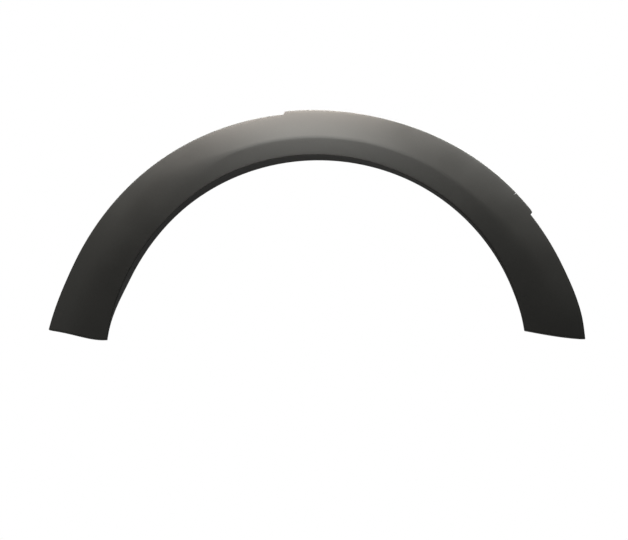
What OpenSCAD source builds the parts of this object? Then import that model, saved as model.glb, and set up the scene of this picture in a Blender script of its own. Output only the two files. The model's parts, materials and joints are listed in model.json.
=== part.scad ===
// Wheel arch trim: one injection moulding that frames a car's wheel opening.
// X runs along the car, +Z is up and the visible face looks towards -Y.
// The body panel lies at y = 0, and the origin is the seat of the crown clip.

/* [Opening] */
// Radius of the wheel opening, on the inner face of the return flange
opening_r = 342.3; // [320:0.1:360]
// Angle of the right end at the wheel opening, counted up from level
right_end_angle = 8.1; // [5:0.1:11]
// Angle of the left end at the wheel opening
left_end_angle = 173.4; // [170:0.1:176]
// How much lower the right end's outer corner reaches, in degrees
right_end_sweep = 3.3; // [0:0.1:4]
// How much higher the left end's outer corner stops, in degrees
left_end_sweep = 1.2; // [0:0.1:4]
// Bulge of the right end's cut
end_bulge_right = 3.6; // [0:0.1:5]
// Bulge of the left end's cut, fullest a quarter of the way out
end_bulge_left = 2.8; // [0:0.1:4]

/* [Band width] */
// Width of the face at the right end's outer corner
band_right_end = 97.1; // [92:0.1:104]
// Width of the face just above that corner
band_right_foot = 96.6; // [92:0.2:104]
// Width of the face low on the right
band_right_low = 89.4; // [85:0.1:95]
// Width of the face at the right shoulder
band_right_high = 81.7; // [78:0.1:86]
// Width of the face at the crown, without the lip
band_crown = 73.5; // [70:0.1:78]
// Width of the face at the left shoulder
band_left_high = 84.6; // [80:0.1:89]
// Width of the face low on the left
band_left_low = 88.5; // [84:0.1:93]
// Width of the face where it starts to widen towards the left end
band_left_foot = 91.2; // [87:0.1:96]
// Width of the face at the left end
band_left_end = 100.6; // [95:0.1:106]

/* [Crease] */
// Width of the inner band, from the opening to the crease, at the crown
inner_band_w = 30.7; // [24:0.1:36]
// How far below the opening's centre the crease has its own centre
crease_drop = 14.9; // [8:0.1:22]
// Length over which the crease is rounded where it is sharp
crease_blend_sharp = 4; // [2:0.5:8]
// Length over which it is rounded where it fades out, low on both sides
crease_blend_soft = 26; // [14:1:28]

/* [Section] */
// Wall thickness of the moulding
wall = 2.8; // [2.2:0.1:3.2]
// How far the edge at the wheel opening stands in front of the body
corner_h = 29.5; // [28:0.5:33]
// How far the crease stands in front of the body, at the crown
crease_h = 25; // [22:0.5:27]
// How much closer to the body the face comes at both ends
end_fall = 3; // [0:0.5:5]
// Depth of the hem that meets the body
hem_h = 5.5; // [5:0.25:8]
// Rounding of the edge at the wheel opening
corner_round = 2.4; // [2:0.2:6]
// Rounding of the hem's outer edge
hem_round = 1.8; // [1:0.1:2.4]
// Swell of the outer band over a straight line
band_swell = 0.8; // [0:0.1:1.5]
// Depth of the return wall across each end
end_return = 8; // [5:0.5:10]

/* [Return flange] */
// How far the flange runs behind the body panel on the right
flange_back_right = 16; // [14:1:24]
// How far it runs behind the panel at the crown
flange_back_crown = 20; // [14:1:28]
// How far it runs behind the panel at the left shoulder
flange_back_shoulder = 18; // [14:1:28]
// How far it runs behind the panel low on the left, where it is deepest
flange_back_left = 34; // [20:1:38]
// Length of arc over which it dies away into the right end's return wall, in degrees
flange_taper_right = 13; // [8:1:16]
// Length of arc over which it dies away into the left end's return wall
flange_taper_left = 19.5; // [14:0.5:26]
// Diameter of the screw holes in the flange
screw_hole_d = 6.4; // [4:0.2:8]
// How far the screw holes lie behind the body panel
screw_hole_back = 10; // [8:0.5:12]

/* [Lip] */
// How far the raised lip stands out over the hem
lip_proud = 5.8; // [3:0.1:7]
// Angle of the lip's left end
lip_left_angle = 97.4; // [94:0.2:100]
// Angle of the lip's right end
lip_right_angle = 34.8; // [33:0.2:37]
// Angle of the relief notch in the lip
notch_angle = 40.6; // [39.5:0.1:43]
// Width of the relief notch
notch_w = 0.9; // [0.6:0.1:6]
// Depth of the relief notch
notch_depth = 5; // [1.5:0.1:5.8]
// How much lower the lip's last stretch is, past the notch
tab_drop = 0.2; // [0:0.1:1.5]

/* [Clip towers] */
// Number of clip towers, with one at the crown
clip_count = 7; // [5:2:7]
// Angle from one clip tower to the next
clip_pitch = 24.5; // [20:0.5:25]
// Distance from the opening to the clip seats
clip_inset = 40; // [36:1:44]
// Length of a clip tower along the arch
tower_l = 26; // [22:1:34]
// Width of a clip tower across the band
tower_w = 28; // [24:1:32]
// Wall thickness of a clip tower
tower_wall = 2; // [1.6:0.1:2.6]
// Thickness of the plate that a clip grips
seat_t = 2.5; // [2:0.1:3]
// Diameter of a clip's seat
seat_d = 9.2; // [7:0.2:11]
// Width of the slot that a clip slides in through
slot_w = 5.6; // [4:0.2:6]

/* [Cross ribs] */
// Number of cross ribs between two clip towers
ribs_between = 2; // [1:1:3]
// Thickness of a cross rib
rib_t = 1.8; // [1.4:0.1:2.4]
// How far the ribs' back edge stays in front of the body panel
rib_set_back = 9; // [6:0.5:13]

/* [Hidden] */

plastic = [0.20, 0.20, 0.19];
crown_angle = 90;
foot_right = 10.5;
foot_left = 161;
shoulder_right = 45;
quarter_right = 22;
narrowest_angle = 80;
flange_shoulder = 126;
shoulder_left = 128;
quarter_left = 152;
// The crease is sharp between the first two angles, and has faded out beyond the other two
crease_sharp_from = 62;
crease_sharp_to = 108;
crease_gone_right = 30;
crease_gone_left = 134;
// Arc near each end over which its slant dies away
sweep_fade = 22;
// Arc near each end over which the face comes closer to the body
fall_fade = 40;
// Length of arc that the lip and the notch take to step, and the lip's rounded shoulder
lip_step = 2.4;
notch_step = 0.2;
lip_shoulder = 7;
lip_shoulder_drop = 0.7;
// The steps between the stations of the loft, along the arc
station_arc = 2.1;
// How deep the ribs and towers reach into the wall
root = 0.55 * wall;
overlap = 1;
seat_r = opening_r + clip_inset;
crease_r = opening_r + inner_band_w + crease_drop;
least_h = 0.5;
least_round = 1;
// Length of arc in which an end's return wall steps down to the plain wall
wall_step = 0.4;
// How many points each rounding takes, on the visible face and under it
hem_points = 4;
face_points = 3;
crease_points = 7;
corner_points = 5;
under_crease_points = 4;
under_corner_points = 3;
hole_facets = 48;

function lerp(a, b, t) = a + (b - a) * t;
function clamp01(t) = max(0, min(1, t));
function smooth(t) = let (c = clamp01(t)) c * c * (3 - 2 * c);
function arc_deg(length, r) = length / r * 180 / PI;

// Value at x of the smooth curve through the knots [x, value]
function slope_at(k, i) =
    let (a = max(0, i - 1), b = min(len(k) - 1, i + 1))
    (k[b][1] - k[a][1]) / (k[b][0] - k[a][0]);
function span_of(k, x, i = 0) = i >= len(k) - 2 || x < k[i + 1][0] ? i : span_of(k, x, i + 1);
function curve(k, x) =
    let (
        i = span_of(k, x),
        d = k[i + 1][0] - k[i][0],
        t = clamp01((x - k[i][0]) / d),
        m0 = slope_at(k, i) * d,
        m1 = slope_at(k, i + 1) * d
    )
    (2 * pow(t, 3) - 3 * t * t + 1) * k[i][1] + (pow(t, 3) - 2 * t * t + t) * m0
    + (3 * t * t - 2 * pow(t, 3)) * k[i + 1][1] + (pow(t, 3) - t * t) * m1;

band_knots = [
    [right_end_angle - right_end_sweep, band_right_end],
    [foot_right, band_right_foot],
    [quarter_right, band_right_low],
    [shoulder_right, band_right_high],
    [narrowest_angle, band_crown],
    [shoulder_left, band_left_high],
    [quarter_left, band_left_low],
    [foot_left, band_left_foot],
    [left_end_angle, band_left_end]
];

// Width of the face, and of the inner band up to the crease, at angle a
function band(a) = curve(band_knots, a);
function inner_band(a) =
    sqrt(pow(crease_r, 2) - pow(crease_drop * cos(a), 2)) - crease_drop * sin(a) - opening_r;

// 0 along the arch and 1 at its ends
function near_right(a, arc) = 1 - smooth((a - right_end_angle) / arc);
function near_left(a, arc) = 1 - smooth((left_end_angle - a) / arc);
function near_end(a, arc) = max(near_right(a, arc), near_left(a, arc));

// How far the lip stands out at angle a
notch_half = arc_deg(notch_w / 2, opening_r + band_right_high);
lip_step_deg = arc_deg(lip_step, opening_r + band_crown);
notch_step_deg = arc_deg(notch_step, opening_r + band_crown);
shoulder_deg = arc_deg(lip_shoulder, opening_r + band_crown);
function lip_rise(from_end) =
    (lip_proud - lip_shoulder_drop) * clamp01(from_end / lip_step_deg)
    + lip_shoulder_drop * smooth((from_end - lip_step_deg) / shoulder_deg);
function in_notch(a) = clamp01((notch_half + notch_step_deg - abs(a - notch_angle)) / notch_step_deg);
function lip(a) =
    max(0, lip_rise(min(a - lip_right_angle, lip_left_angle - a))
        - tab_drop * clamp01((notch_angle - a) / notch_half) * clamp01((a - lip_right_angle) / lip_step_deg)
        - notch_depth * in_notch(a));

// Height of the flange's back edge: behind the body along the arch, and in its return wall at each end
flange_end_h = corner_h - end_fall - end_return - corner_round / 2;
flange_knots = [
    [right_end_angle, flange_back_right],
    [shoulder_right, flange_back_right],
    [narrowest_angle, flange_back_crown],
    [flange_shoulder, flange_back_shoulder],
    [quarter_left, flange_back_left],
    [left_end_angle, flange_back_left]
];
function flange_h(a) =
    lerp(
        -curve(flange_knots, a),
        flange_end_h,
        max(near_right(a, flange_taper_right), near_left(a, flange_taper_left))
    );

// Sharp corners of the section at angle a, without the lip, from the hem to the flange's back edge.
// A point is [distance from the opening, height in front of the body].
function corners(a) =
    let (fall = end_fall * near_end(a, fall_fade))
    [
        [band(a), 0],
        [band(a), hem_h],
        [inner_band(a), crease_h - fall],
        [0, corner_h - fall],
        [0, flange_h(a)]
    ];

// The same corners on a line that lies deep under the skin
function unit(v) = v / norm(v);
function left_of(v) = [-v[1], v[0]];
function offset_corner(p, q, r, deep) =
    let (n1 = left_of(unit(q - p)), n2 = left_of(unit(r - q)))
    q + deep * (n1 + n2) / (1 + n1 * n2);
function sunk_corners(a, deep) =
    let (k = corners(a))
    [
        [k[0][0] - deep, 0],
        let (e = offset_corner(k[0], k[1], k[2], deep)) [e[0], max(least_h, e[1])],
        offset_corner(k[1], k[2], k[3], deep),
        offset_corner(k[2], k[3], k[4], deep),
        [deep, k[4][1]]
    ];

// A smooth turn from a to b that points at q on the way, as count points of a parabola
function turn(a, q, b, count) =
    [for (i = [0 : count - 1])
        let (t = i / (count - 1))
        a * pow(1 - t, 2) + q * 2 * t * (1 - t) + b * pow(t, 2)];
function rounded(p, q, r, length, count) =
    turn(q + unit(p - q) * length, q, q + unit(r - q) * length, count);

// Where the line through a along u crosses the line through b along v
function crossing(a, u, b, v) =
    a + u * ((b[0] - a[0]) * v[1] - (b[1] - a[1]) * v[0]) / (u[0] * v[1] - u[1] * v[0]);

// The outer band swells: its line from the hem's corner, at t = 0, to the crease, at t = 1, and its slope
function on_face(k, t) =
    lerp(k[1], k[2], t) + left_of(unit(k[1] - k[2])) * band_swell * 4 * t * (1 - t);
function along_face(k, t) =
    k[2] - k[1] + left_of(unit(k[1] - k[2])) * band_swell * 4 * (1 - 2 * t);

function crease_blend(a) =
    let (
        right = (crease_sharp_from - a) / (crease_sharp_from - crease_gone_right),
        left = (a - crease_sharp_to) / (crease_gone_left - crease_sharp_to)
    )
    lerp(crease_blend_sharp, crease_blend_soft, smooth(max(right, left)));

// The skin's line at angle a, deep under the visible face. The lip carries the outer band on.
function skin(a, deep, hem_pts, face_pts, crease_pts, corner_pts) =
    let (
        k = sunk_corners(a, deep),
        blend = crease_blend(a),
        long = norm(k[2] - k[1]),
        t_rim = -lip(a) / (k[1][0] - k[2][0]),
        t_crease = 1 - blend / long,
        rim = [on_face(k, t_rim)[0], max(least_h, on_face(k, t_rim)[1])],
        hem = hem_pts == 1 ? [rim] :
            rounded([rim[0], 0], rim, rim + along_face(k, t_rim), hem_round, hem_pts),
        t_hem = t_rim + (hem_pts == 1 ? 0 : hem_round / long),
        start = on_face(k, t_crease),
        stop = k[2] + unit(k[3] - k[2]) * blend
    )
    concat(
        [[rim[0], 0]],
        hem,
        [for (i = [1 : face_pts]) on_face(k, lerp(t_hem, t_crease, i / (face_pts + 1)))],
        turn(start, crossing(start, along_face(k, t_crease), stop, k[3] - k[2]), stop, crease_pts),
        rounded(k[2], k[3], k[4], max(least_round, corner_round - deep), corner_pts),
        [k[4]]
    );
function outer_skin(a) = skin(a, 0, hem_points, face_points, crease_points, corner_points);
function under_skin(a, deep) = skin(a, deep, 1, 1, under_crease_points, under_corner_points);

// Stations of the loft: even steps, and both sides of each place where the section steps
even_count = ceil((left_end_angle - right_end_angle) / station_arc);
end_wall_deg = arc_deg(wall, opening_r);
wall_step_deg = arc_deg(wall_step, opening_r);
step_angles = [
    right_end_angle + end_wall_deg, right_end_angle + end_wall_deg + wall_step_deg,
    lip_right_angle, lip_right_angle + lip_step_deg, lip_right_angle + lip_step_deg + shoulder_deg,
    notch_angle - notch_half - notch_step_deg, notch_angle - notch_half,
    notch_angle + notch_half, notch_angle + notch_half + notch_step_deg,
    lip_left_angle - lip_step_deg - shoulder_deg, lip_left_angle - lip_step_deg, lip_left_angle,
    left_end_angle - end_wall_deg - wall_step_deg, left_end_angle - end_wall_deg
];
function closest(a, list) = min([for (s = list) abs(a - s)]);
even_angles = [for (i = [0 : even_count]) lerp(right_end_angle, left_end_angle, i / even_count)];
keep_clear = 0.45;
kept_even = [for (a = even_angles)
    if (a == right_end_angle || a == left_end_angle || closest(a, step_angles) > keep_clear) a];
function sorted(v) =
    len(v) < 2 ? v :
    let (pivot = v[floor(len(v) / 2)])
    concat(
        sorted([for (x = v) if (x < pivot) x]),
        [pivot],
        sorted([for (x = v) if (x > pivot) x])
    );
stations = sorted(concat(kept_even, step_angles));

// The section at station a, as one closed loop. The wall is as deep as the return wall at each end.
function in_end_wall(a) =
    min(a - right_end_angle, left_end_angle - a) < end_wall_deg + wall_step_deg / 2;
function section(a) =
    let (inside = under_skin(a, in_end_wall(a) ? end_return : wall))
    concat(outer_skin(a), [for (i = [len(inside) - 1 : -1 : 0]) inside[i]]);

// Two bulges over u from 0 to 1, both 1 high: at the middle, and at a quarter
function even_bulge(u) = 4 * u * (1 - u);
function early_bulge(u) = 256 / 27 * u * pow(1 - u, 3);

// A section's point in space: near the ends the station slants and bulges as the cut does
function slanted(a, u) =
    let (
        right = 1 - clamp01((a - right_end_angle) / sweep_fade),
        left = 1 - clamp01((left_end_angle - a) / sweep_fade),
        bulge_right = arc_deg(end_bulge_right, opening_r) * even_bulge(u),
        bulge_left = arc_deg(end_bulge_left, opening_r) * early_bulge(u)
    )
    a - right * (right_end_sweep * u + bulge_right) - left * (left_end_sweep * u - bulge_left);
function in_space(a, p) =
    let (
        u = clamp01(p[0] / band(a)),
        b = slanted(a, u),
        r = opening_r + p[0] * band(b) / band(a)
    )
    [r * cos(b), -p[1], r * sin(b)];

ring_size = len(section(crown_angle));
shell_points = [for (a = stations) for (p = section(a)) in_space(a, p)];
last_ring = (len(stations) - 1) * ring_size;
function quad(i, j) =
    let (n = (j + 1) % ring_size)
    [i * ring_size + j, i * ring_size + n, (i + 1) * ring_size + n, (i + 1) * ring_size + j];
outer_size = len(outer_skin(crown_angle));
inner_size = ring_size - outer_size;

// Each end is closed by triangles between its outer and its inner line
function inner_of(j) = ring_size - 1 - round(j * (inner_size - 1) / (outer_size - 1));
end_faces = [for (j = [0 : outer_size - 2])
    let (p = inner_of(j), q = inner_of(j + 1))
    each p == q ? [[j, j + 1, p]] : [[j, j + 1, q], [j, q, p]]];
shell_faces = concat(
    [for (i = [0 : len(stations) - 2]) for (j = [0 : ring_size - 1])
        let (q = quad(i, j))
        each [[q[0], q[1], q[2]], [q[0], q[2], q[3]]]],
    [for (f = end_faces) [f[2], f[1], f[0]]],
    [for (f = end_faces) [for (v = f) last_ring + v]]
);

module shell() {
    polyhedron(points = shell_points, faces = shell_faces, convexity = 6);
}

// Places a child on the arch: its X runs outwards, its Z along the arch
module on_arch(a) {
    rotate([0, -a, 0]) children();
}

// Height of the wall's middle over the body at distance s from the opening
function root_line(a) = [for (p = under_skin(a, root)) if (p[1] > 0) [p[0], p[1]]];
function root_h(a, s) =
    let (k = root_line(a), up = [for (i = [len(k) - 1 : -1 : 0]) k[i]])
    lookup(s, up);

// A plate across the arch from s0 to s1, from the height back up to the skin
plate_steps = 6;
module plate(a, s0, s1, back, thick) {
    top = [for (i = [0 : plate_steps])
        let (s = lerp(s0, s1, i / plate_steps))
        [opening_r + s, -root_h(a, s)]];
    linear_extrude(height = thick, center = true)
        polygon(concat([[opening_r + s0, -back]], top, [[opening_r + s1, -back]]));
}

module cross_rib(a) {
    k = corners(a);
    slope = (k[2][1] - k[1][1]) / (k[1][0] - k[2][0]);
    far = k[1][0] - (rib_set_back + 2 * root - k[1][1]) / slope;
    on_arch(a) {
        plate(a, corner_round, far, rib_set_back, rib_t);
        linear_extrude(height = rib_t, center = true)
            polygon([
                [opening_r + root, -rib_set_back],
                [opening_r + root, -(k[3][1] - corner_round)],
                [opening_r + corner_round + overlap, -root_h(a, corner_round + overlap)],
                [opening_r + corner_round + overlap, -rib_set_back]
            ]);
    }
}

// A box-shaped tower, open towards the wheel, with a keyhole plate at the body
module clip_tower(a) {
    s0 = clip_inset - tower_w / 2;
    s1 = clip_inset + tower_w / 2;
    on_arch(a) {
        for (side = [-1, 1])
            translate([0, 0, side * (tower_l - tower_wall) / 2])
                plate(a, s0, s1, 0, tower_wall);
        plate(a, s1 - tower_wall, s1, 0, tower_l);
        translate([opening_r + s0, -seat_t, -tower_l / 2])
            cube([tower_w, seat_t, tower_l]);
    }
}

module keyhole(a) {
    on_arch(a) {
        translate([seat_r, overlap, 0])
            rotate([90, 0, 0])
                cylinder(h = seat_t + 2 * overlap, d = seat_d, $fn = hole_facets);
        translate([seat_r - tower_w / 2 - overlap, -seat_t - overlap, -slot_w / 2])
            cube([tower_w / 2 + overlap, seat_t + 2 * overlap, slot_w]);
    }
}

module screw_hole(a) {
    on_arch(a)
        translate([opening_r - 2 * overlap, screw_hole_back, 0])
            rotate([0, 90, 0])
                cylinder(h = wall + 4 * overlap, d = screw_hole_d, $fn = hole_facets);
}

clip_angles = [for (i = [0 : clip_count - 1]) crown_angle + (i - (clip_count - 1) / 2) * clip_pitch];
gap_starts = [for (i = [0 : clip_count - 2]) clip_angles[i]];
rib_angles = [for (a = gap_starts) for (j = [1 : ribs_between])
    a + clip_pitch * j / (ribs_between + 1)];
screw_angles = [for (a = gap_starts) a + clip_pitch / 2];

module arch_trim() {
    color(plastic)
        translate([0, 0, -seat_r])
            difference() {
                union() {
                    shell();
                    for (a = rib_angles) cross_rib(a);
                    for (a = clip_angles) clip_tower(a);
                }
                for (a = clip_angles) keyhole(a);
                for (a = screw_angles) screw_hole(a);
            }
}

arch_trim();
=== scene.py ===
"""Looks of the wheel arch trim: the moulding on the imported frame, its plastic, the studio and the camera.

Lengths are in metres and angles round the wheel opening in degrees, counted up from +X.
"""
import json
import math
from bisect import bisect_right

import bmesh
import bpy
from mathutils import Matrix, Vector


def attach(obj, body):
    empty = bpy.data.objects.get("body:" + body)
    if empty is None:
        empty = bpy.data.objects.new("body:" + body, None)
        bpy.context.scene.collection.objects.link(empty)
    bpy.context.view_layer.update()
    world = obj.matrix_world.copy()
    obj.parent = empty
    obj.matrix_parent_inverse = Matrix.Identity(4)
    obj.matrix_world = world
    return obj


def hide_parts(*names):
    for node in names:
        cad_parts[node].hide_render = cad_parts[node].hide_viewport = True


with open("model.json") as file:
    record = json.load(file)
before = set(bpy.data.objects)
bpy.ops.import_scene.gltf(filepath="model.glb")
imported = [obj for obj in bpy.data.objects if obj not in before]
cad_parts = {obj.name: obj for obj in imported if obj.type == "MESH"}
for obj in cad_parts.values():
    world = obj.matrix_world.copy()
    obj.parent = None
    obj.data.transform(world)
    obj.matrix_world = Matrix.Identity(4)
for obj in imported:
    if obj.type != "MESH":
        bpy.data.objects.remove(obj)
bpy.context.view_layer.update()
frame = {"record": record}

MM = 0.001

# Sizes of the moulding, with finer roundings, swells and leans than the frame's solid has
OPENING_R = 342.3 * MM
RIGHT_END, LEFT_END = 8.1, 173.4
RIGHT_SWEEP, LEFT_SWEEP = 3.3, 1.2
BULGE_RIGHT, BULGE_LEFT = 3.6 * MM, 2.8 * MM
SWEEP_FADE, FALL_FADE = 22.0, 40.0
CROWN_BAND = 73.5 * MM
BAND_WIDTHS = [
    (RIGHT_END - RIGHT_SWEEP, 97.1 * MM),
    (10.5, 96.6 * MM),
    (22, 89.4 * MM),
    (45, 81.7 * MM),
    (80, CROWN_BAND),
    (128, 84.6 * MM),
    (152, 88.5 * MM),
    (161, 91.2 * MM),
    (LEFT_END, 100.6 * MM),
]
INNER_BAND = 30.7 * MM
CREASE_DROP, CREASE_LEFT = 14.9 * MM, 3 * MM
CREASE_R = OPENING_R + INNER_BAND + CREASE_DROP
BLEND_SHARP, BLEND_SOFT = 4 * MM, 26 * MM
CREASE_SHARP = (48, 108)
CREASE_GONE = (16, 134)
WALL = 2.8 * MM
CORNER_H, CREASE_H, HEM_H = 29.5 * MM, 24.8 * MM, 5.5 * MM
END_FALL = 3 * MM
HEM_ROUND, LEAST_HEM_ROUND, LEAST_CORNER_ROUND = 0.9 * MM, 0.4 * MM, 1 * MM
ROUND_SHARE = 0.45
CORNER_ROUNDS = [
    (RIGHT_END, 2.4 * MM),
    (45, 3.2 * MM),
    (68, 1.8 * MM),
    (118, 1.4 * MM),
    (140, 1.7 * MM),
    (LEFT_END, 2.4 * MM),
]
# How far the flange's front corner stands in over its back edge
FLANGE_LEAN = [
    (RIGHT_END, 0),
    (32, 0.8 * MM),
    (58, 2.7 * MM),
    (76, 2.1 * MM),
    (92, 0.8 * MM),
    (106, 0),
    (118, 0),
    (138, 2.8 * MM),
    (156, 1.6 * MM),
    (LEFT_END, 0),
]
BAND_SWELL, INNER_SWELL = 0.8 * MM, 0.17 * MM
END_RETURN = 8 * MM
FLANGE_TAPER_RIGHT, FLANGE_TAPER_LEFT = 13, 19.5
FLANGE_BACK = [
    (RIGHT_END, 16 * MM),
    (45, 16 * MM),
    (80, 20 * MM),
    (126, 18 * MM),
    (152, 34 * MM),
    (LEFT_END, 34 * MM),
]
LIP_PROUD, LIP_SHOULDER_DROP, TAB_DROP = 5.8 * MM, 0.7 * MM, 0.2 * MM
LIP_LEFT, LIP_RIGHT, NOTCH = 97.4, 34.8, 40.6
LIP_STEP, LIP_SHOULDER = 2.4 * MM, 7 * MM
NOTCH_W, NOTCH_DEPTH, NOTCH_STEP = 0.9 * MM, 5 * MM, 0.2 * MM
LIP_R, NOTCH_R = OPENING_R + CROWN_BAND, OPENING_R + 81.8 * MM
RIM_ROUND, END_ROUND = 0.7 * MM, 0.8 * MM
WALL_STEP, LEAST_H = 0.4 * MM, 0.5 * MM
TOWER_L, TOWER_W, TOWER_WALL, SEAT_T = 26 * MM, 28 * MM, 2 * MM, 2.5 * MM
SLOT_W = 5.6 * MM
RIB_T, RIB_SET_BACK, RIBS_BETWEEN = 1.8 * MM, 9 * MM, 2
ROOT = 0.55 * WALL
EDGE_BEVEL = 0.35 * MM
OVERCUT = 1 * MM

# How finely the moulding is divided: stations round the arch, and points on each stretch of a line
STATIONS, LIP_STATIONS, NOTCH_STATIONS = 334, 6, 4
CLOSEST_STATIONS = 0.2
END_SHARES = (0, 0.04, 0.15, 0.33, 0.6, 1)
RIM_PTS, HEM_PTS, FACE_PTS, CREASE_PTS, CORNER_PTS = 5, 7, 8, 13, 11
TOWER_PTS, RIB_PTS, SEAT_PTS, HOLE_PTS = 8, 12, 40, 48
BEVEL_STEPS = 2
SHARPEST_SMOOTH = 32
SHORTEST_EDGE, LEAST_RUN = 1e-6, 1e-9

# The clip seats and screw holes come from the record's mounts
mounts = {m["name"]: m for m in frame["record"]["mounts"]}
seats = [m for n, m in mounts.items() if n.startswith("clip_seat")]
holes = [m for n, m in mounts.items() if n.startswith("screw_hole")]
SEAT_R = OPENING_R + 40 * MM
CENTRE = Vector((0, 0, -SEAT_R))


def angle_of(mount):
    """The angle of a mount round the opening."""
    p = Vector(mount["pos_m"]) - CENTRE
    return math.degrees(math.atan2(p.z, p.x))


def lerp(a, b, t):
    return a + (b - a) * t


def spread(a, b, count):
    """Values from a to b in count even steps."""
    return [a + (b - a) * i / count for i in range(count + 1)]


def clamp01(t):
    return max(0.0, min(1.0, t))


def smooth(t):
    t = clamp01(t)
    return t * t * (3 - 2 * t)


def arc_deg(length, radius):
    return math.degrees(length / radius)


def curve(knots, x):
    """The smooth curve through the knots (x, value), at x."""
    def slope(i):
        a, b = max(0, i - 1), min(len(knots) - 1, i + 1)
        return (knots[b][1] - knots[a][1]) / (knots[b][0] - knots[a][0])

    i = min(max(bisect_right([k[0] for k in knots], x) - 1, 0), len(knots) - 2)
    d = knots[i + 1][0] - knots[i][0]
    t = clamp01((x - knots[i][0]) / d)
    return (
        (2 * t**3 - 3 * t * t + 1) * knots[i][1]
        + (t**3 - 2 * t * t + t) * slope(i) * d
        + (3 * t * t - 2 * t**3) * knots[i + 1][1]
        + (t**3 - t * t) * slope(i + 1) * d
    )


def band(a):
    return curve(BAND_WIDTHS, a)


def inner_band(a):
    c, s = math.cos(math.radians(a)), math.sin(math.radians(a))
    across = CREASE_DROP * c - CREASE_LEFT * s
    return math.sqrt(CREASE_R**2 - across**2) - CREASE_LEFT * c - CREASE_DROP * s - OPENING_R


def near_right(a, arc):
    return 1 - smooth((a - RIGHT_END) / arc)


def near_left(a, arc):
    return 1 - smooth((LEFT_END - a) / arc)


LIP_STEP_DEG = arc_deg(LIP_STEP, LIP_R)
SHOULDER_DEG = arc_deg(LIP_SHOULDER, LIP_R)
NOTCH_STEP_DEG = arc_deg(NOTCH_STEP, LIP_R)
NOTCH_HALF = arc_deg(NOTCH_W / 2, NOTCH_R)


def lip(a):
    """How far the raised lip stands out over the hem at angle a."""
    along = min(a - LIP_RIGHT, LIP_LEFT - a)
    rise = (LIP_PROUD - LIP_SHOULDER_DROP) * smooth(along / LIP_STEP_DEG)
    rise += LIP_SHOULDER_DROP * smooth((along - LIP_STEP_DEG) / SHOULDER_DEG)
    tab = TAB_DROP * clamp01((NOTCH - a) / NOTCH_HALF) * clamp01((a - LIP_RIGHT) / LIP_STEP_DEG)
    notch = NOTCH_DEPTH * clamp01((NOTCH_HALF + NOTCH_STEP_DEG - abs(a - NOTCH)) / NOTCH_STEP_DEG)
    return max(0.0, rise - tab - notch)


def corner_round(a):
    return curve(CORNER_ROUNDS, a)


def flange_height(a):
    """Height of the flange's back edge, which is in the return wall at each end."""
    at_end = CORNER_H - END_FALL - END_RETURN - corner_round(a) / 2
    share = max(near_right(a, FLANGE_TAPER_RIGHT), near_left(a, FLANGE_TAPER_LEFT))
    return lerp(-curve(FLANGE_BACK, a), at_end, share)


def corners(a):
    """Sharp corners of the section without the lip, hem to flange edge: (from the opening, height)."""
    fall = END_FALL * max(near_right(a, FALL_FADE), near_left(a, FALL_FADE))
    return [
        Vector((band(a), 0)),
        Vector((band(a), HEM_H)),
        Vector((inner_band(a), CREASE_H - fall)),
        Vector((-curve(FLANGE_LEAN, a), CORNER_H - fall)),
        Vector((0, flange_height(a))),
    ]


def offset_corner(p, q, r, deep):
    n1 = (q - p).normalized()
    n2 = (r - q).normalized()
    n1, n2 = Vector((-n1.y, n1.x)), Vector((-n2.y, n2.x))
    return q + (n1 + n2) * (deep / (1 + n1.dot(n2)))


def sunk_corners(a, deep):
    """The same corners on the line that lies deep under the skin."""
    k = corners(a)
    hem = offset_corner(k[0], k[1], k[2], deep)
    hem.y = max(LEAST_H, hem.y)
    return [
        Vector((k[0].x - deep, 0)),
        hem,
        offset_corner(k[1], k[2], k[3], deep),
        offset_corner(k[2], k[3], k[4], deep),
        Vector((deep, k[4].y)),
    ]


def turned(a, q, b, count):
    """A smooth turn from a to b that points at q on the way, as count points of a parabola."""
    ts = [i / (count - 1) for i in range(count)]
    return [a * (1 - t) ** 2 + q * (2 * t * (1 - t)) + b * t * t for t in ts]


def rounded(p, q, r, length, count):
    return turned(q + (p - q).normalized() * length, q, q + (r - q).normalized() * length, count)


def crossing(a, u, b, v):
    """Where the line through a along u crosses the line through b along v."""
    return a + u * (((b.x - a.x) * v.y - (b.y - a.y) * v.x) / (u.x * v.y - u.y * v.x))


def swollen(p, q, swell):
    """The face from p to q, swollen outwards in its middle, and its slope, over the share t."""
    along = q - p
    out = Vector((along.y, -along.x)).normalized() * (4 * swell)
    return (
        lambda t: p + along * t + out * (t * (1 - t)),
        lambda t: along + out * (1 - 2 * t),
    )


def crease_blend(a):
    right = (CREASE_SHARP[0] - a) / (CREASE_SHARP[0] - CREASE_GONE[0])
    left = (a - CREASE_SHARP[1]) / (CREASE_GONE[1] - CREASE_SHARP[1])
    return lerp(BLEND_SHARP, BLEND_SOFT, smooth(max(right, left)))


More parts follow.
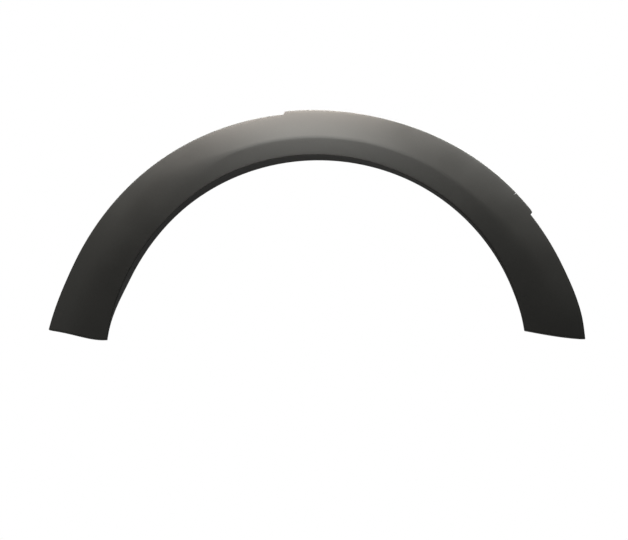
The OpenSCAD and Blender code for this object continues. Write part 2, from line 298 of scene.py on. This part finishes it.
def skin(a, deep, inside):
    """The skin's line at angle a, deep under the visible face.

    inside says whether it is the line on the hidden side of the wall.
    """
    k = sunk_corners(a, deep)
    along = k[2] - k[1]
    on_face, slope = swollen(k[1], k[2], BAND_SWELL)
    on_inner, inner_slope = swollen(k[2], k[3], INNER_SWELL)
    inner_length = (k[3] - k[2]).length

    # The lip carries the outer band on, past the hem's corner
    t_rim = -lip(a) / (k[1].x - k[2].x)
    edge = on_face(t_rim)
    edge.y = max(LEAST_H, edge.y)
    room = edge.y * ROUND_SHARE
    rim = min(RIM_ROUND, room)
    inward = Vector((1 if inside else -1, 0)) * rim
    foot = Vector((edge.x, 0))
    start = rounded(foot + inward, foot, edge, rim, RIM_PTS)
    turn = min(room, max(LEAST_HEM_ROUND, HEM_ROUND - deep))
    hem = rounded(foot, edge, edge + slope(t_rim), turn, HEM_PTS)
    t_hem = t_rim + turn / along.length
    blend = crease_blend(a)
    t_crease = 1 - blend / along.length
    face = [on_face(t) for t in spread(t_hem, t_crease, FACE_PTS + 1)[1:-1]]
    t_inner = blend / inner_length
    first, last = on_face(t_crease), on_inner(t_inner)
    crease = turned(first, crossing(first, slope(t_crease), last, inner_slope(t_inner)), last, CREASE_PTS)
    turn = max(LEAST_CORNER_ROUND, corner_round(a) - deep)
    t_corner = 1 - turn / inner_length
    first, last = on_inner(t_corner), k[3] + (k[4] - k[3]).normalized() * turn
    corner = turned(first, crossing(first, inner_slope(t_corner), last, k[4] - k[3]), last, CORNER_PTS)
    inner_face = [on_inner(t) for t in spread(t_inner, t_corner, FACE_PTS + 1)[1:-1]]
    stop = rounded(k[3], k[4], k[4] - inward, rim, RIM_PTS)
    flange = [corner[-1].lerp(stop[0], t) for t in spread(0, 1, FACE_PTS + 1)[1:-1]]
    return start + hem + face + crease + inner_face + corner + flange + stop


WALL_DEG = arc_deg(WALL, OPENING_R)
WALL_STEP_DEG = arc_deg(WALL_STEP, OPENING_R)


def from_end(a):
    return min(a - RIGHT_END, LEFT_END - a)


def outer_line(a):
    """The visible side's line, which rounds over to the cut at each end."""
    x = clamp01(math.radians(from_end(a)) * OPENING_R / END_ROUND)
    return skin(a, END_ROUND * (1 - math.sqrt(1 - (1 - x) ** 2)), False)


def inner_line(a):
    """The hidden side's line, deeper in the return wall of each end."""
    return skin(a, END_RETURN if from_end(a) < WALL_DEG + WALL_STEP_DEG / 2 else WALL, True)


def slanted(a, u):
    """The true angle of a point at share u of the face's width, on the station that starts at angle a.

    The right foot's bulge is highest in the middle of its width, and the left one's at a quarter of it.
    """
    right = 1 - clamp01((a - RIGHT_END) / SWEEP_FADE)
    left = 1 - clamp01((LEFT_END - a) / SWEEP_FADE)
    bulge_right = arc_deg(BULGE_RIGHT, OPENING_R) * 4 * u * (1 - u)
    bulge_left = arc_deg(BULGE_LEFT, OPENING_R) * 256 / 27 * u * (1 - u) ** 3
    return a - right * (RIGHT_SWEEP * u + bulge_right) - left * (LEFT_SWEEP * u - bulge_left)


def in_space(a, p):
    b = slanted(a, clamp01(p.x / band(a)))
    r = OPENING_R + p.x * band(b) / band(a)
    return CENTRE + Vector((r * math.cos(math.radians(b)), -p.y, r * math.sin(math.radians(b))))


def station_angles():
    """Even steps of about half a degree, and closer ones where the section changes fast."""
    close = []
    for end, turn in ((RIGHT_END, 1), (LEFT_END, -1)):
        close += [end + turn * arc_deg(x * END_ROUND, OPENING_R) for x in END_SHARES]
        close += [end + turn * WALL_DEG, end + turn * (WALL_DEG + WALL_STEP_DEG)]
    close += spread(LIP_RIGHT, LIP_RIGHT + LIP_STEP_DEG, LIP_STATIONS)
    close += spread(LIP_LEFT - LIP_STEP_DEG, LIP_LEFT, LIP_STATIONS)
    for side in (-1, 1):
        near, far = NOTCH + side * NOTCH_HALF, NOTCH + side * (NOTCH_HALF + NOTCH_STEP_DEG)
        close += spread(near, far, NOTCH_STATIONS)
    even = spread(RIGHT_END, LEFT_END, STATIONS)
    even = [a for a in even if min(abs(a - c) for c in close) > CLOSEST_STATIONS]
    return sorted(set(even + close))


def new_object(name, bm):
    bmesh.ops.recalc_face_normals(bm, faces=bm.faces)
    mesh = bpy.data.meshes.new(name)
    bm.to_mesh(mesh)
    bm.free()
    obj = bpy.data.objects.new(name, mesh)
    bpy.context.collection.objects.link(obj)
    return obj


def make_shell():
    bm = bmesh.new()
    rings = []
    for a in station_angles():
        outer, inner = outer_line(a), inner_line(a)
        line = outer + inner[::-1]
        rings.append([bm.verts.new(in_space(a, p)) for p in line])
    size = len(rings[0])
    for ring, after in zip(rings, rings[1:]):
        for j in range(size):
            n = (j + 1) % size
            bm.faces.new((ring[j], ring[n], after[n], after[j]))
    for ring in (rings[0], rings[-1]):
        for j in range(size // 2 - 1):
            bm.faces.new((ring[j], ring[j + 1], ring[size - 2 - j], ring[size - 1 - j]))
    return new_object("shell", bm)


def on_arch(a, s, h, t):
    """The place s out from the opening, h in front of the body and t along the arch."""
    c, n = math.cos(math.radians(a)), math.sin(math.radians(a))
    return CENTRE + Vector(((OPENING_R + s) * c - t * n, -h, (OPENING_R + s) * n + t * c))


def prism(bm, outline, place, bevelled=()):
    """A closed prism: place turns an outline point and a side, -1 or 1, into space.

    The edges among the outline points that bevelled names are bevelled.
    """
    low, high = ([bm.verts.new(place(p, side)) for p in outline] for side in (-1, 1))
    faces = [bm.faces.new(low), bm.faces.new(high[::-1])]
    count = len(outline)
    for j in range(count):
        n = (j + 1) % count
        faces.append(bm.faces.new((low[j], high[j], high[n], low[n])))
    edges = {e for f in faces for e in f.edges}
    ends = {v for j in bevelled for v in (low[j], high[j])}
    picked = [e for e in edges if all(v in ends for v in e.verts)]
    if picked:
        bmesh.ops.bevel(
            bm, geom=picked, offset=EDGE_BEVEL, segments=BEVEL_STEPS, affect="EDGES", profile=0.5
        )


def root_height(a, s):
    """Height of the wall's middle over the body, s out from the opening."""
    line = sorted((p.x, p.y) for p in skin(a, ROOT, True) if p.y > 0 and p.x > ROOT)
    i = min(max(bisect_right([p[0] for p in line], s), 1), len(line) - 1)
    (x0, y0), (x1, y1) = line[i - 1], line[i]
    return lerp(y0, y1, clamp01((s - x0) / max(x1 - x0, LEAST_RUN)))


def flange_root(a, h):
    """The middle of the flange's wall at height h, from the opening."""
    k = corners(a)
    return ROOT + lerp(k[4].x, k[3].x, (h - k[4].y) / (k[3].y - k[4].y))


CLIP_ANGLES = sorted(angle_of(m) for m in seats)
SCREW_ANGLES = sorted(angle_of(m) for m in holes)
RIB_ANGLES = [
    lerp(a, b, j / (RIBS_BETWEEN + 1))
    for a, b in zip(CLIP_ANGLES, CLIP_ANGLES[1:])
    for j in range(1, RIBS_BETWEEN + 1)
]
CLIP_INSET = SEAT_R - OPENING_R
TOWER_FROM, TOWER_TO = CLIP_INSET - TOWER_W / 2, CLIP_INSET + TOWER_W / 2


def tower_blocks():
    bm = bmesh.new()
    for a in CLIP_ANGLES:
        top = [Vector((s, root_height(a, s))) for s in spread(TOWER_FROM, TOWER_TO, TOWER_PTS)]
        outline = [Vector((TOWER_FROM, 0))] + top + [Vector((TOWER_TO, 0))]
        last = len(outline) - 1
        bevelled = (0, 1, last - 1, last)
        prism(bm, outline, lambda p, side: on_arch(a, p.x, p.y, side * TOWER_L / 2), bevelled)
    return new_object("tower_blocks", bm)


def tower_voids():
    bm = bmesh.new()
    for a in CLIP_ANGLES:
        s0, s1 = TOWER_FROM - OVERCUT, TOWER_TO - TOWER_WALL
        top = [Vector((s, root_height(a, s) + 4 * OVERCUT)) for s in spread(s0, s1, TOWER_PTS)]
        outline = [Vector((s0, SEAT_T))] + top + [Vector((s1, SEAT_T))]
        half = TOWER_L / 2 - TOWER_WALL
        prism(bm, outline, lambda p, side: on_arch(a, p.x, p.y, side * half))
    return new_object("tower_voids", bm)


def keyholes():
    """The clip's round seat and the slot that it slides in through."""
    bm = bmesh.new()
    for a, seat in zip(CLIP_ANGLES, sorted(seats, key=angle_of)):
        r = seat["dims"]["r_mm"] * MM
        half = math.asin(SLOT_W / 2 / r)
        arc = spread(-math.pi + half, math.pi - half, SEAT_PTS)
        outline = [Vector((CLIP_INSET + r * math.cos(t), r * math.sin(t))) for t in arc]
        outline += [Vector((TOWER_FROM - OVERCUT, y)) for y in (SLOT_W / 2, -SLOT_W / 2)]
        reach = SEAT_T / 2 + OVERCUT
        prism(bm, outline, lambda p, side: on_arch(a, p.x, SEAT_T / 2 + side * reach, p.y))
    return new_object("keyholes", bm)


def cross_ribs():
    bm = bmesh.new()
    for a in RIB_ANGLES:
        k = corners(a)
        slope = (k[2].y - k[1].y) / (k[1].x - k[2].x)
        far = k[1].x - (RIB_SET_BACK + 2 * ROOT - k[1].y) / slope
        top = [Vector((s, root_height(a, s))) for s in spread(corner_round(a), far, RIB_PTS)]
        foot = [Vector((flange_root(a, h), h)) for h in (RIB_SET_BACK, k[3].y - corner_round(a))]
        outline = foot + top
        outline.append(Vector((far, RIB_SET_BACK)))
        last = len(outline) - 1
        prism(bm, outline, lambda p, side: on_arch(a, p.x, p.y, side * RIB_T / 2), (0, last))
    return new_object("cross_ribs", bm)


def screw_cutters():
    bm = bmesh.new()
    for a, hole in zip(SCREW_ANGLES, sorted(holes, key=angle_of)):
        r = hole["dims"]["r_mm"] * MM
        back = -hole["pos_m"][1]
        turns = spread(0, 2 * math.pi, HOLE_PTS)[:-1]
        outline = [Vector((r * math.cos(t), r * math.sin(t))) for t in turns]
        prism(bm, outline, lambda p, side: on_arch(a, WALL / 2 + side * 3 * OVERCUT, back + p.x, p.y))
    return new_object("screw_cutters", bm)


def combine(obj, other, operation):
    mod = obj.modifiers.new(operation, "BOOLEAN")
    mod.operation, mod.object, mod.solver = operation, other, "MANIFOLD"
    done = bpy.data.meshes.new_from_object(obj.evaluated_get(bpy.context.evaluated_depsgraph_get()))
    obj.modifiers.clear()
    obj.data = done
    bpy.data.objects.remove(other)


def finish_surface(obj):
    """Smooth shading, with a hard edge only where two faces really meet at an angle."""
    bm = bmesh.new()
    bm.from_mesh(obj.data)
    bmesh.ops.dissolve_degenerate(bm, edges=bm.edges, dist=SHORTEST_EDGE)
    for f in bm.faces:
        f.smooth = True
    for e in bm.edges:
        e.smooth = len(e.link_faces) == 2 and e.calc_face_angle(0) < math.radians(SHARPEST_SMOOTH)
    bm.to_mesh(obj.data)
    bm.free()


# The plastic: its gloss and colour, then size, detail and roughness of its clouds, grain and mottle
IOR, SPECULAR = 1.5, 0.55
ROUGHNESS, ROUGHNESS_SPREAD = 0.40, 0.02
BASE_DARK, BASE_LIGHT = (0.0135, 0.0135, 0.0126, 1), (0.0185, 0.0185, 0.0172, 1)
CLOUDS, GRAIN, MOTTLE = (60 * MM, 3, 0.5), (0.9 * MM, 2, 0.6), (1.6 * MM, 3, 0.5)
GRAIN_STRENGTH, GRAIN_DEPTH = 0.4, 0.08 * MM
NOISE_LOW, NOISE_HIGH = 0.3, 0.7


def plastic():
    """Charcoal moulded plastic with a fine matt grain."""
    mat = bpy.data.materials.new("charcoal_plastic")
    mat.use_nodes = True
    nodes, links = mat.node_tree.nodes, mat.node_tree.links
    bsdf = nodes["Principled BSDF"]
    bsdf.inputs["IOR"].default_value = IOR
    bsdf.inputs["Specular IOR Level"].default_value = SPECULAR
    coords = nodes.new("ShaderNodeTexCoord").outputs["Object"]

    def noise(size, detail, rough):
        node = nodes.new("ShaderNodeTexNoise")
        node.inputs["Scale"].default_value = 1 / size
        node.inputs["Detail"].default_value = detail
        node.inputs["Roughness"].default_value = rough
        links.new(coords, node.inputs["Vector"])
        return node.outputs["Fac"]

    def spread_over(value, low, high):
        node = nodes.new("ShaderNodeMapRange")
        node.inputs["From Min"].default_value = NOISE_LOW
        node.inputs["From Max"].default_value = NOISE_HIGH
        node.inputs["To Min"].default_value = low
        node.inputs["To Max"].default_value = high
        links.new(value, node.inputs["Value"])
        return node.outputs["Result"]

    clouds = noise(*CLOUDS)
    grain = noise(*GRAIN)
    rough = spread_over(clouds, ROUGHNESS - ROUGHNESS_SPREAD, ROUGHNESS + ROUGHNESS_SPREAD)
    links.new(rough, bsdf.inputs["Roughness"])
    tone = nodes.new("ShaderNodeMix")
    tone.data_type = "RGBA"
    tone.inputs["A"].default_value = BASE_DARK
    tone.inputs["B"].default_value = BASE_LIGHT
    links.new(spread_over(noise(*MOTTLE), 0, 1), tone.inputs["Factor"])
    links.new(tone.outputs["Result"], bsdf.inputs["Base Color"])
    bump = nodes.new("ShaderNodeBump")
    bump.inputs["Strength"].default_value = GRAIN_STRENGTH
    bump.inputs["Distance"].default_value = GRAIN_DEPTH
    links.new(grain, bump.inputs["Height"])
    links.new(bump.outputs["Normal"], bsdf.inputs["Normal"])
    return mat


# The moulding
trim = make_shell()
trim.name = "arch_trim_moulding"
towers = tower_blocks()
combine(towers, tower_voids(), "DIFFERENCE")
combine(towers, keyholes(), "DIFFERENCE")
combine(trim, towers, "UNION")
combine(trim, cross_ribs(), "UNION")
combine(trim, screw_cutters(), "DIFFERENCE")
finish_surface(trim)
trim.data.materials.clear()
trim.data.materials.append(plastic())
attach(trim, "root")
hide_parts("arch_trim")

# The studio: a pale floor far below, white all round for the camera, and soft lamps round the crown
AMBIENT = 0.05
GLOSSY_SHARE = 0.03
FLOOR_GLOW = 0.94
FLOOR_Z, FLOOR_REACH = -3.4, 400
FLOOR_GREY, FLOOR_ROUGHNESS = (0.86, 0.86, 0.86, 1), 0.9
WHITE = (1, 1, 1, 1)


def math_node(nodes, links, operation, first, second):
    """A Math node; the second value is an output or a number."""
    node = nodes.new("ShaderNodeMath")
    node.operation = operation
    links.new(first, node.inputs[0])
    if isinstance(second, float):
        node.inputs[1].default_value = second
    else:
        links.new(second, node.inputs[1])
    return node.outputs[0]


def backdrop_share(nodes, links):
    """The share of the white backdrop that a ray sees.

    It is all for the camera and through glass, and a little in a reflection.
    """
    path = nodes.new("ShaderNodeLightPath").outputs
    direct = math_node(nodes, links, "MAXIMUM", path["Is Camera Ray"], path["Is Transmission Ray"])
    mirrored = math_node(nodes, links, "MULTIPLY", path["Is Glossy Ray"], GLOSSY_SHARE)
    return math_node(nodes, links, "MAXIMUM", direct, mirrored)


def make_world():
    world = bpy.data.worlds.new("studio")
    bpy.context.scene.world = world
    world.use_nodes = True
    nodes, links = world.node_tree.nodes, world.node_tree.links
    nodes.clear()
    white, dim = nodes.new("ShaderNodeBackground"), nodes.new("ShaderNodeBackground")
    for background, strength in ((white, 1.0), (dim, AMBIENT)):
        background.inputs["Color"].default_value = WHITE
        background.inputs["Strength"].default_value = strength
    pick = nodes.new("ShaderNodeMixShader")
    links.new(backdrop_share(nodes, links), pick.inputs["Fac"])
    links.new(dim.outputs[0], pick.inputs[1])
    links.new(white.outputs[0], pick.inputs[2])
    links.new(pick.outputs[0], nodes.new("ShaderNodeOutputWorld").inputs["Surface"])


def make_floor():
    bm = bmesh.new()
    bmesh.ops.create_grid(bm, x_segments=1, y_segments=1, size=FLOOR_REACH)
    floor = new_object("floor", bm)
    floor.location.z = FLOOR_Z
    mat = bpy.data.materials.new("pale_floor")
    mat.use_nodes = True
    nodes, links = mat.node_tree.nodes, mat.node_tree.links
    bsdf = nodes["Principled BSDF"]
    bsdf.inputs["Base Color"].default_value = FLOOR_GREY
    bsdf.inputs["Roughness"].default_value = FLOOR_ROUGHNESS
    glow, mix = nodes.new("ShaderNodeEmission"), nodes.new("ShaderNodeMixShader")
    share = math_node(nodes, links, "MULTIPLY", backdrop_share(nodes, links), FLOOR_GLOW)
    links.new(share, mix.inputs["Fac"])
    links.new(bsdf.outputs[0], mix.inputs[1])
    links.new(glow.outputs[0], mix.inputs[2])
    links.new(mix.outputs[0], nodes["Material Output"].inputs["Surface"])
    floor.data.materials.append(mat)


# The lamps, placed from a point in the crown's face
CROWN = Vector((0, -20 * MM, 10 * MM))
DOWN = (0, 0, -1)
NEUTRAL, WARM = (1, 1, 0.95), (1, 0.9, 0.81)
LAMP_H = 1.3
# Name, place, direction, size, power and colour
LAMPS = [
    ("crown_left", (-0.5, -0.3, LAMP_H), DOWN, (0.35, 0.3), 12.8, WARM),
    ("crown", (0, 0, LAMP_H), DOWN, (0.35, 0.3), 26.2, WARM),
    ("far_left", (-1.1, 0.1, LAMP_H), DOWN, (0.6, 0.4), 22.8, NEUTRAL),
    ("near_right", (0.8, 0.1, LAMP_H), DOWN, (0.9, 0.4), 12.7, NEUTRAL),
    ("far_right", (1.1, 0.1, LAMP_H), DOWN, (0.6, 0.4), 33.4, NEUTRAL),
    ("front", (-0.1, -1.4, LAMP_H), DOWN, (0.8, 1.4), 32.2, NEUTRAL),
    ("left", (-2.2, -1.6, 0.3), (2.2, 1.6, -0.5), (1.2, 1.2), 2.1, NEUTRAL),
    ("back", (0, 2.4, 1.3), (0, -2.4, -1.5), (2.4, 0.8), 80, NEUTRAL),
]


def area_light(name, place, towards, size, power, colour):
    """A rectangular lamp, placed from the crown."""
    data = bpy.data.lights.new(name, "AREA")
    data.shape = "RECTANGLE"
    data.size, data.size_y = size
    data.energy, data.color = power, colour
    lamp = bpy.data.objects.new(name, data)
    lamp.location = CROWN + Vector(place)
    lamp.rotation_mode = "QUATERNION"
    lamp.rotation_quaternion = Vector(towards).to_track_quat("-Z", "Y")
    bpy.context.collection.objects.link(lamp)


make_world()
make_floor()
for lamp in LAMPS:
    area_light(*lamp)

# The camera stands where the photograph was taken from, and aims beside and over the centre
AZIMUTH, ELEVATION, DISTANCE = math.radians(3), math.radians(-9.5), 9.0
LENS, SENSOR = 316.7, 36
AIM_RIGHT, AIM_UP = -3.9 * MM, 153.1 * MM
CLIP_START, CLIP_END = 0.1, 2000


def make_camera():
    towards = Vector((
        math.sin(AZIMUTH) * math.cos(ELEVATION),
        -math.cos(AZIMUTH) * math.cos(ELEVATION),
        math.sin(ELEVATION),
    ))
    right = Vector((math.cos(AZIMUTH), math.sin(AZIMUTH), 0))
    up = right.cross(-towards)
    aim = CENTRE + AIM_RIGHT * right + AIM_UP * up
    cam = bpy.data.objects.new("camera", bpy.data.cameras.new("camera"))
    cam.data.lens, cam.data.sensor_width = LENS, SENSOR
    cam.data.clip_start, cam.data.clip_end = CLIP_START, CLIP_END
    cam.location = CENTRE + DISTANCE * towards
    cam.rotation_mode = "QUATERNION"
    cam.rotation_quaternion = (aim - cam.location).to_track_quat("-Z", "Y")
    bpy.context.collection.objects.link(cam)
    bpy.context.scene.camera = cam


make_camera()
bpy.context.scene.view_settings.view_transform = "Standard"
